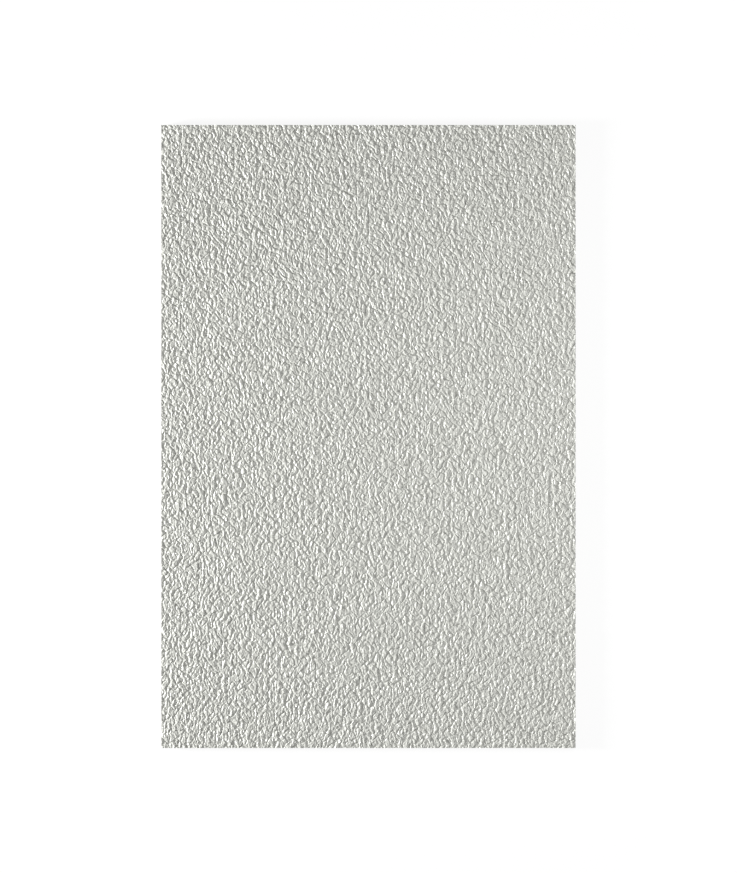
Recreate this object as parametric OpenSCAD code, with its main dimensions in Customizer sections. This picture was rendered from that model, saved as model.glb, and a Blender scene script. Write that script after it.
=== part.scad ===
// Fibreboard ceiling panel: one board with a pebbled face, pressed first and trimmed square after.
// It lies on its back. The origin is the middle of the back face. +X runs across the board,
// +Y runs along it, and +Z points out of the pebbled face, which the room sees.

/* [Board] */
// Width between the two long cut edges
board_width = 595; // [300:1:625]
// Length between the two short cut edges
board_length = 895; // [400:1:925]
// Thickness from the back to the crown of the highest pebble
board_thickness = 12; // [6:0.5:20]

/* [Pebbles] */
// Spacing of the crowns and pits along a row
pebble_spacing = 10; // [10:0.5:30]
// Depth of the pressing, from the highest crown to the deepest pit
press_depth = 1.6; // [0.4:0.1:3]
// How much of that depth differs from one crown or pit to the next, as a share
depth_spread = 0.35; // [0:0.05:0.5]
// How far a crown or pit strays from its place in the row at most, as a share of the spacing
stray = 0.24; // [0:0.02:0.3]
// Which random pressing is made
pattern_number = 7; // [1:1:99]

/* [Hidden] */

// The press plate covers the board and ends past it on every side.
plate_columns = ceil(board_width / pebble_spacing) + 1;
plate_rows = ceil(board_length / pebble_spacing) + 1;
plate_width = plate_columns * pebble_spacing;
plate_length = plate_rows * pebble_spacing;
plate_thickness = 5;
points_in_row = plate_columns + 1;
point_count = points_in_row * (plate_rows + 1);

// Three random numbers for each point of the plate: its height, and how it strays across and along
height_noise = rands(0, 1, point_count, 3 * pattern_number);
across_noise = rands(-1, 1, point_count, 3 * pattern_number + 1);
along_noise = rands(-1, 1, point_count, 3 * pattern_number + 2);

function index(i, j) = j * points_in_row + i;

// Crowns and pits take turns along every row and column, as the colours of a chessboard do.
function is_crown(i, j) = (i + j) % 2 == 0;
function depth_share(i, j) =
    is_crown(i, j)
        ? depth_spread * height_noise[index(i, j)]
        : 1 - depth_spread * height_noise[index(i, j)];

// The plate's own rim stays straight. The trim takes it off.
function is_rim(i, j) = i == 0 || j == 0 || i == plate_columns || j == plate_rows;
function strayed(noise, i, j) = is_rim(i, j) ? 0 : stray * pebble_spacing * noise[index(i, j)];

function plate_point(i, j) = [
    i * pebble_spacing - plate_width / 2 + strayed(across_noise, i, j),
    j * pebble_spacing - plate_length / 2 + strayed(along_noise, i, j),
    board_thickness - press_depth * depth_share(i, j)
];
plate_points = [for (j = [0:plate_rows], i = [0:plate_columns]) plate_point(i, j)];

// Each cell of the plate folds along its shorter diagonal. Where that joins two crowns they run
// together as one long pebble, and where it joins two pits a valley parts them.
function span(a, b) = norm(plate_points[b] - plate_points[a]);
function cell_faces(i, j) =
    let (
        near_left = index(i, j),
        near_right = index(i + 1, j),
        far_right = index(i + 1, j + 1),
        far_left = index(i, j + 1)
    )
    span(near_left, far_right) < span(near_right, far_left)
        ? [[near_left, near_right, far_right], [near_left, far_right, far_left]]
        : [[near_left, near_right, far_left], [near_right, far_right, far_left]];

// The plate that presses the pebbles: its underside is their form, and its top is flat.
module press_plate() {
    top = board_thickness + plate_thickness;
    top_points = [
        [-plate_width / 2, -plate_length / 2, top],
        [plate_width / 2, -plate_length / 2, top],
        [plate_width / 2, plate_length / 2, top],
        [-plate_width / 2, plate_length / 2, top]
    ];
    near_left = point_count;
    near_right = point_count + 1;
    far_right = point_count + 2;
    far_left = point_count + 3;

    polyhedron(
        points = concat(plate_points, top_points),
        faces = concat(
            [for (j = [0:plate_rows - 1], i = [0:plate_columns - 1]) each cell_faces(i, j)],
            [
                [near_left, near_right, for (i = [plate_columns:-1:0]) index(i, 0)],
                [near_right, far_right, for (j = [plate_rows:-1:0]) index(plate_columns, j)],
                [far_right, far_left, for (i = [0:plate_columns]) index(i, plate_rows)],
                [far_left, near_left, for (j = [0:plate_rows]) index(0, j)],
                [far_left, far_right, near_right, near_left]
            ]
        ),
        convexity = 10
    );
}

// The board, trimmed square, with the plate's form pressed into its face
module panel() {
    color([0.77, 0.775, 0.75])
        difference() {
            translate([-board_width / 2, -board_length / 2, 0])
                cube([board_width, board_length, board_thickness]);
            press_plate();
        }
}

panel();
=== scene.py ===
"""Fibreboard ceiling panel: the pressed board, its paint and bare fibre, the light and the camera."""

from math import tau

import bpy
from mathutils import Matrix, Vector


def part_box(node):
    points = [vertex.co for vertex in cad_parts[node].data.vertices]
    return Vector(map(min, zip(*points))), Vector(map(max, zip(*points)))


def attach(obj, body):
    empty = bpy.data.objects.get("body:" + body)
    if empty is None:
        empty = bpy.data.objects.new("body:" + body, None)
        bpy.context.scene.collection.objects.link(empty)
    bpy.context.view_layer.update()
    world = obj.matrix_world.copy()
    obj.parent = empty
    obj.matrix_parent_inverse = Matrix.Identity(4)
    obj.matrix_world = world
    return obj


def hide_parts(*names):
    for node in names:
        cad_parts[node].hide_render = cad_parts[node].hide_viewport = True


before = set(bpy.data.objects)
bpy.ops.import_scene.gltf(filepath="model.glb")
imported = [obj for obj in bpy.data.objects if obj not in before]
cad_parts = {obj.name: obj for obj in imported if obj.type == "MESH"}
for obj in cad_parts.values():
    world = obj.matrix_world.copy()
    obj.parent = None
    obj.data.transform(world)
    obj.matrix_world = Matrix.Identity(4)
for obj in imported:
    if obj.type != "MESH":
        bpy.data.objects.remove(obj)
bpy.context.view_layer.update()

# Sizes of the board, in metres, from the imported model
board_low, board_high = (Vector(corner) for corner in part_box("panel"))
board_size = board_high - board_low
board_width, board_length, board_thickness = board_size
crown_height = board_high.z

# The pressing, in metres. Creases run where a noise of this size is zero, and the pebbles lie between them.
pebble_size = 0.0084
press_depth = 0.00138
wander = 0.00067  # how far a crease strays from a straight line
wander_size = 0.005
sway = 0.00083  # and more slowly
sway_size = 0.0143
lump_size = 0.005
swell_depth = 0.00005
swell_size = 0.01
ripple_depth = 0.0004  # of the paint film, too fine for the mesh
ripple_size = 0.0033

# The pressing, as plain numbers. The levels are values of the noise.
pebble_stretch = 1.4
crown_level = 0.226
crown_rounding = 0.09
crease_rounding = 0.022
lump_share = 0.15

# The face is first a grid this fine, then thinned to this many triangles. It is too coarse for the
# full depth of the narrow creases, so it takes a share of it, and the paint takes all of their slope.
grid_step = 0.001
face_triangles = 186000
mesh_share = 0.65

# The paint. It is a little thicker in patches of the first size, in metres, and duller in specks of the second.
thick_patch_size = 0.03
dull_speck_size = 0.0025
paint_roughness = 0.22
dull_speck_roughness = 0.38

# The cut edges, in metres
strand_length = 0.004
layer_flatness = 5  # a strand is this many times as long as it is thick
strand_relief = 0.0006
void_size = 0.0016
void_depth = 0.0005
void_levels = (0.66, 0.74)  # a void starts at the first value of its noise, and is fully open at the second
paint_lap = 0.0018  # how far the paint runs down a cut edge
edge_roughness = 0.92
painted_edge_roughness = 0.52

# The back, in metres
back_strand_width = 0.0012
back_strand_slimness = 0.2  # its width as a share of its length
back_strand_relief = 0.0004
swirl_size = 0.02
swirl_reach = 0.02
patch_size = 0.05
patch_share = 0.22  # of the back's colour. The strands give the rest.
screen_pitch = 0.0024  # of the wire screen that the board was pressed on
screen_depth = 0.00018
back_roughness = 0.84
back_strand_roughness = 0.12

# The export's map has a row for the face, one for the back and one for each side. Shares of its height.
row_heights = (0.82, 0.1, 0.012, 0.012, 0.012, 0.012)
row_gap = 0.006

# Colours, linear
paint_colour = (0.60, 0.605, 0.563)
thin_paint_colour = (0.586, 0.59, 0.548)
thick_paint_colour = (0.614, 0.62, 0.578)
pale_fibre_colour = (0.40, 0.285, 0.175)
fibre_colour = (0.31, 0.205, 0.115)
dark_fibre_colour = (0.17, 0.10, 0.05)
# Painted shade: the dark colour of the small voids in the cut edge, which are only bumped in
painted_void_shade = (0.07, 0.04, 0.02)
lit_floor_colour = (0.8, 0.8, 0.8)
shown_floor_colour = (0.13, 0.13, 0.13)
white = (1, 1, 1)

# The floor, in metres. Its glow fades in between the two distances from its middle.
floor_size = 8
floor_gap = 0.0005
glow_distances = (0.7, 1.5)
glow_strengths = (0.9, 1.0)

# The light of the room on the board. What the camera sees of the room is white.
room_light = 0.2

# The photograph's frame and the board's length in it, in pixels
picture_height = 873
board_length_in_picture = 623.2

# The camera's height in metres, and its sensor's in millimetres
camera_height = 3.5
sensor_height = 24


class Nodes:
    """Adds nodes to a tree and links them. An input takes a plain value or another node's socket."""

    def __init__(self, tree):
        self.tree = tree

    def add(self, kind, inputs=None, **settings):
        node = self.tree.nodes.new(kind)
        for name, value in settings.items():
            setattr(node, name, value)
        for name, value in (inputs or {}).items():
            self.feed(node.inputs[name], value)
        return node

    def feed(self, socket, value):
        if isinstance(value, bpy.types.NodeSocket):
            self.tree.links.new(value, socket)
        else:
            socket.default_value = value

    def math(self, operation, *values):
        inputs = dict(enumerate(values))
        return self.add("ShaderNodeMath", inputs, operation=operation).outputs[0]

    def vector_math(self, operation, *vectors):
        inputs = dict(enumerate(vectors))
        return self.add("ShaderNodeVectorMath", inputs, operation=operation).outputs[0]

    def noise(self, position, size, output="Fac", detail=0.0, dimensions="2D", normalize=False):
        """Noise with features of the given size: about 0, or from 0 to 1 where it is normalized."""
        inputs = {"Vector": position, "Scale": 1 / size, "Detail": detail}
        settings = {"noise_dimensions": dimensions, "normalize": normalize}
        return self.add("ShaderNodeTexNoise", inputs, **settings).outputs[output]

    def spread(self, value, levels, results=(0.0, 1.0)):
        """Runs from the first result to the second while the value runs from the first level to the second."""
        ends = dict(zip(("From Min", "From Max", "To Min", "To Max"), (*levels, *results)))
        return self.add("ShaderNodeMapRange", {"Value": value, **ends}).outputs[0]

    def bump(self, height, **more):
        """The normal of a surface with this height on it, in metres."""
        return self.add("ShaderNodeBump", {"Height": height, "Distance": 1.0, **more}).outputs[0]

    def mix(self, share, first, second):
        """The first colour where the share is 0, and the second where it is 1."""
        node = self.add("ShaderNodeMix", {"Factor": share}, data_type="RGBA")
        for index, colour in ((6, first), (7, second)):
            self.feed(node.inputs[index], colour if isinstance(colour, bpy.types.NodeSocket) else (*colour, 1))
        return node.outputs[2]

    def ramp(self, value, stops):
        """A colour ramp through stops, each a place from 0 to 1 and a colour."""
        node = self.add("ShaderNodeValToRGB", {"Fac": value})
        elements = node.color_ramp.elements
        while len(elements) < len(stops):
            elements.new(0.5)
        for element, (place, colour) in zip(elements, stops):
            element.position = place
            element.color = (*colour, 1)
        return node.outputs["Color"]


def pressing(nodes, position):
    """Height of the pressed face, in metres: about 0 on a crown, and -press_depth in a crease."""
    place = nodes.vector_math("MULTIPLY", position, (1, 1 / pebble_stretch, 1))
    for size, reach in ((wander_size, wander), (sway_size, sway)):
        stray = nodes.noise(position, size, "Color")
        place = nodes.vector_math("ADD", place, nodes.vector_math("MULTIPLY", stray, (reach, reach, 0)))
    fold = nodes.noise(place, pebble_size)
    rounded = nodes.math("SQRT", nodes.math("MULTIPLY_ADD", fold, fold, crease_rounding ** 2))
    rise = nodes.math("SMOOTH_MIN", rounded, crown_level, crown_rounding)
    lumps = nodes.noise(place, lump_size, detail=1.0)
    rise = nodes.math("MULTIPLY_ADD", lumps, lump_share, rise)
    height = nodes.math("MULTIPLY_ADD", rise, press_depth / crown_level, -press_depth)
    swell = nodes.noise(position, swell_size, detail=1.0)
    return nodes.math("MULTIPLY_ADD", swell, swell_depth, height)


def deselect():
    if bpy.context.object and bpy.context.object.mode == "EDIT":
        bpy.ops.object.mode_set(mode="OBJECT")
    bpy.ops.object.select_all(action="DESELECT")


def press_tool():
    """Geometry nodes that push every point of a flat sheet up or down by its share of the pressing."""
    group = bpy.data.node_groups.new("Press plate", "GeometryNodeTree")
    group.interface.new_socket("Geometry", in_out="INPUT", socket_type="NodeSocketGeometry")
    group.interface.new_socket("Geometry", in_out="OUTPUT", socket_type="NodeSocketGeometry")
    nodes = Nodes(group)
    sheet = nodes.add("NodeGroupInput").outputs[0]
    position = nodes.add("GeometryNodeInputPosition").outputs[0]
    depth = nodes.math("MULTIPLY", pressing(nodes, position), mesh_share)
    push = nodes.add("ShaderNodeCombineXYZ", {"Z": depth}).outputs[0]
    pressed = nodes.add("GeometryNodeSetPosition", {"Geometry": sheet, "Offset": push}).outputs[0]
    nodes.add("NodeGroupOutput", {0: pressed})
    return group


def apply_modifier(piece, kind, **settings):
    modifier = piece.modifiers.new(kind.title(), kind)
    for name, value in settings.items():
        setattr(modifier, name, value)
    bpy.ops.object.modifier_apply(modifier=modifier.name)


def board():
    """One board: a fine sheet is pressed, thinned where it is plain, and given its sides and back."""
    deselect()
    bpy.ops.mesh.primitive_grid_add(
        x_subdivisions=round(board_width / grid_step),
        y_subdivisions=round(board_length / grid_step),
        size=1,
        location=(0, 0, crown_height),
    )
    piece = bpy.context.object
    piece.name = "pressed_board"
    bpy.ops.transform.resize(value=(board_width, board_length, 1))
    bpy.ops.object.transform_apply(location=True, rotation=True, scale=True)

    apply_modifier(piece, "NODES", node_group=press_tool())
    highest = max(vertex.co.z for vertex in piece.data.vertices)
    bpy.ops.transform.translate(value=(0, 0, crown_height - highest))
    bpy.ops.object.transform_apply(location=True, rotation=True, scale=True)
    ratio = face_triangles / (2 * len(piece.data.polygons))
    apply_modifier(piece, "DECIMATE", ratio=ratio)
    face_count = len(piece.data.polygons)

    bpy.ops.object.mode_set(mode="EDIT")
    bpy.ops.mesh.select_all(action="SELECT")
    bpy.ops.mesh.faces_shade_smooth()
    bpy.ops.mesh.region_to_loop()
    bpy.ops.mesh.mark_sharp()
    bpy.ops.mesh.extrude_region_move(TRANSFORM_OT_translate={"value": (0, 0, -board_thickness)})
    bpy.ops.transform.resize(value=(1, 1, 0), center_override=(0, 0, board_low.z))
    bpy.ops.mesh.edge_face_add()
    bpy.ops.mesh.select_all(action="SELECT")
    bpy.ops.mesh.normals_make_consistent(inside=False)
    bpy.ops.object.mode_set(mode="OBJECT")
    for face in piece.data.polygons:
        if face.index >= face_count:
            face.use_smooth = False
            face.material_index = 2 if face.normal.z < -0.5 else 1
    lay_out(piece.data, face_count)
    return piece


def map_row(face, face_count):
    """The row of the export's map that a face of the board goes in, and the two axes that it is drawn along."""
    if face.index < face_count:
        return 0, (0, 1)
    if face.normal.z < -0.5:
        return 1, (0, 1)
    if abs(face.normal.x) > 0.5:
        return (2 if face.normal.x < 0 else 3), (1, 2)
    return (4 if face.normal.y < 0 else 5), (0, 2)


def lay_out(mesh, face_count):
    """Draws every face of the board once on the export's map."""
    layout = mesh.uv_layers.new(name="OFBake")
    row_starts = [sum(row_heights[:row]) + row * row_gap for row in range(len(row_heights))]
    for face in mesh.polygons:
        row, axes = map_row(face, face_count)
        for corner in face.loop_indices:
            point = mesh.vertices[mesh.loops[corner].vertex_index].co - board_low
            u, v = (min(max(point[axis] / board_size[axis], 0), 1) for axis in axes)
            layout.uv[corner].vector = (u, row_starts[row] + v * row_heights[row])


def new_material(name):
    """A material, its nodes, its shader and the socket that gives the place on the board, in metres."""
    material = bpy.data.materials.new(name)
    material.use_nodes = True
    nodes = Nodes(material.node_tree)
    shader = material.node_tree.nodes["Principled BSDF"]
    position = nodes.add("ShaderNodeTexCoord").outputs["Object"]
    return material, nodes, shader, position


def painted_face():
    """Off-white satin paint over the pressed pebbles. Its slopes start from a flat board, not from the mesh."""
    material, nodes, shader, position = new_material("off_white_paint")
    material.cycles.use_bump_map_correction = False
    thickness = nodes.noise(position, thick_patch_size, detail=5.0, normalize=True)
    stops = ((0.3, thin_paint_colour), (0.7, thick_paint_colour))
    nodes.feed(shader.inputs["Base Color"], nodes.ramp(thickness, stops))

    specks = nodes.noise(position, dull_speck_size, detail=2.0, normalize=True)
    duller = dull_speck_roughness - paint_roughness
    nodes.feed(shader.inputs["Roughness"], nodes.math("MULTIPLY_ADD", specks, duller, paint_roughness))

    up = nodes.add("ShaderNodeCombineXYZ", {"Z": 1.0}).outputs[0]
    ripple = nodes.noise(position, ripple_size, detail=1.0)
    height = nodes.math("MULTIPLY_ADD", ripple, ripple_depth, pressing(nodes, position))
    nodes.feed(shader.inputs["Normal"], nodes.bump(height, Normal=up))
    return material


def fibre_stops():
    return ((0.3, dark_fibre_colour), (0.5, fibre_colour), (0.68, pale_fibre_colour))


def cut_edge():
    """Bare fibre in flat layers, with small voids painted dark as the shade inside them, and the paint of the
    face lapping over its top.
    """
    material, nodes, shader, position = new_material("cut_fibre_edge")
    flattened = nodes.vector_math("MULTIPLY", position, (1, 1, layer_flatness))
    strands = nodes.noise(flattened, strand_length, detail=4.0, dimensions="3D", normalize=True)
    voids = nodes.noise(flattened, void_size, detail=1.0, dimensions="3D", normalize=True)
    open_void = nodes.spread(voids, void_levels)
    # The open voids get the painted shade colour, on top of their small bump
    bare = nodes.mix(open_void, nodes.ramp(strands, fibre_stops()), painted_void_shade)

    height = nodes.add("ShaderNodeSeparateXYZ", {0: position}).outputs["Z"]
    ragged = nodes.math("MULTIPLY_ADD", strands, paint_lap, height)
    painted = nodes.spread(ragged, (crown_height - paint_lap, crown_height))
    nodes.feed(shader.inputs["Base Color"], nodes.mix(painted, bare, paint_colour))
    smoother = painted_edge_roughness - edge_roughness
    nodes.feed(shader.inputs["Roughness"], nodes.math("MULTIPLY_ADD", painted, smoother, edge_roughness))

    sunk = nodes.math("MULTIPLY", open_void, -void_depth)
    relief = nodes.math("MULTIPLY_ADD", strands, strand_relief, sunk)
    nodes.feed(shader.inputs["Normal"], nodes.bump(relief))
    return material


def raw_back():
    """Bare fibre with the faint print of the wire screen that it was pressed on."""
    material, nodes, shader, position = new_material("raw_fibre_back")
    tangle = nodes.noise(position, swirl_size, "Color")
    swirl = nodes.vector_math("MULTIPLY", tangle, (swirl_reach, swirl_reach, 0))
    swirled = nodes.vector_math("ADD", position, swirl)
    drawn_out = nodes.vector_math("MULTIPLY", swirled, (1, back_strand_slimness, 1))
    strands = nodes.noise(drawn_out, back_strand_width, detail=3.0, normalize=True)
    patches = nodes.noise(position, patch_size, detail=4.0, normalize=True)
    mixed = nodes.math("MULTIPLY_ADD", nodes.math("SUBTRACT", patches, strands), patch_share, strands)
    nodes.feed(shader.inputs["Base Color"], nodes.ramp(mixed, fibre_stops()))
    rough = nodes.math("MULTIPLY_ADD", strands, back_strand_roughness, back_roughness)
    nodes.feed(shader.inputs["Roughness"], rough)

    turns = nodes.vector_math("MULTIPLY", position, (tau / screen_pitch,) * 3)
    waves = nodes.add("ShaderNodeSeparateXYZ", {0: nodes.vector_math("SINE", turns)}).outputs
    screen = nodes.math("MULTIPLY", nodes.math("MULTIPLY", waves["X"], waves["Y"]), screen_depth)
    relief = nodes.math("MULTIPLY_ADD", strands, back_strand_relief, screen)
    nodes.feed(shader.inputs["Normal"], nodes.bump(relief))
    return material


def seen(nodes):
    """1 for what the camera sees, straight, in gloss or through glass. 0 for light on its way to the board."""
    path = nodes.add("ShaderNodeLightPath").outputs
    straight = nodes.math("MAXIMUM", path["Is Camera Ray"], path["Is Glossy Ray"])
    return nodes.math("MAXIMUM", straight, path["Is Transmission Ray"])


def studio_floor():
    """A pale floor under the board, white to the camera, with the board's shadow on it."""
    deselect()
    bpy.ops.mesh.primitive_plane_add(size=floor_size, location=(0, 0, board_low.z - floor_gap))
    floor = bpy.context.object
    floor.name = "floor"
    bpy.ops.object.transform_apply(location=True, rotation=True, scale=True)
    material = bpy.data.materials.new("pale_floor")
    material.use_nodes = True
    material.node_tree.nodes.clear()
    nodes = Nodes(material.node_tree)
    lit = nodes.add("ShaderNodeBsdfDiffuse", {"Color": (*lit_floor_colour, 1)}).outputs[0]
    faint = nodes.add("ShaderNodeBsdfDiffuse", {"Color": (*shown_floor_colour, 1)}).outputs[0]
    position = nodes.add("ShaderNodeTexCoord").outputs["Object"]
    away = nodes.add("ShaderNodeVectorMath", {0: position}, operation="LENGTH").outputs["Value"]
    strength = nodes.spread(away, glow_distances, glow_strengths)
    glow = nodes.add("ShaderNodeEmission", {"Color": (*white, 1), "Strength": strength}).outputs[0]
    shown = nodes.add("ShaderNodeAddShader", {0: faint, 1: glow}).outputs[0]
    surface = nodes.add("ShaderNodeMixShader", {0: seen(nodes), 1: lit, 2: shown}).outputs[0]
    nodes.add("ShaderNodeOutputMaterial", {"Surface": surface})
    floor.data.materials.append(material)


def lamp(name, place, aim, size, power):
    data = bpy.data.lights.new(name, "AREA")
    data.shape = "SQUARE"
    data.size = size
    data.energy = power
    holder = bpy.data.objects.new(name, data)
    bpy.context.scene.collection.objects.link(holder)
    holder.location = place
    holder.rotation_euler = (Vector(aim) - Vector(place)).to_track_quat("-Z", "Y").to_euler()
    holder.visible_camera = False


def studio_light():
    """A raking lamp on the left brings out the pebbles. A soft box on the right and the room are fill."""
    lamp("raking_lamp", place=(-3.0, -0.19, 0.72), aim=(0, 0, 0), size=0.5, power=180)
    lamp("fill_box", place=(0.7, 0, 0.9), aim=(0.7, 0, 0), size=1.0, power=5.6)
    world = bpy.data.worlds.new("studio")
    world.use_nodes = True
    nodes = Nodes(world.node_tree)
    background = world.node_tree.nodes["Background"]
    background.inputs["Color"].default_value = (*white, 1)
    strength = nodes.math("MULTIPLY_ADD", seen(nodes), 1 - room_light, room_light)
    nodes.feed(background.inputs["Strength"], strength)
    bpy.context.scene.world = world


def camera():
    """Square on to the face, far enough away to look as flat as the photograph."""
    data = bpy.data.cameras.new("camera")
    holder = bpy.data.objects.new("camera", data)
    bpy.context.scene.collection.objects.link(holder)
    holder.location = (0, 0, camera_height)
    view_length = board_length * picture_height / board_length_in_picture
    data.sensor_fit = "VERTICAL"
    data.sensor_height = sensor_height
    data.lens = sensor_height * (camera_height - crown_height) / view_length
    bpy.context.scene.camera = holder


panel = board()
panel.data.materials.append(painted_face())
panel.data.materials.append(cut_edge())
panel.data.materials.append(raw_back())
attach(panel, "root")
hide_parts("panel")

studio_floor()
studio_light()
camera()
bpy.context.scene.view_settings.view_transform = "Standard"
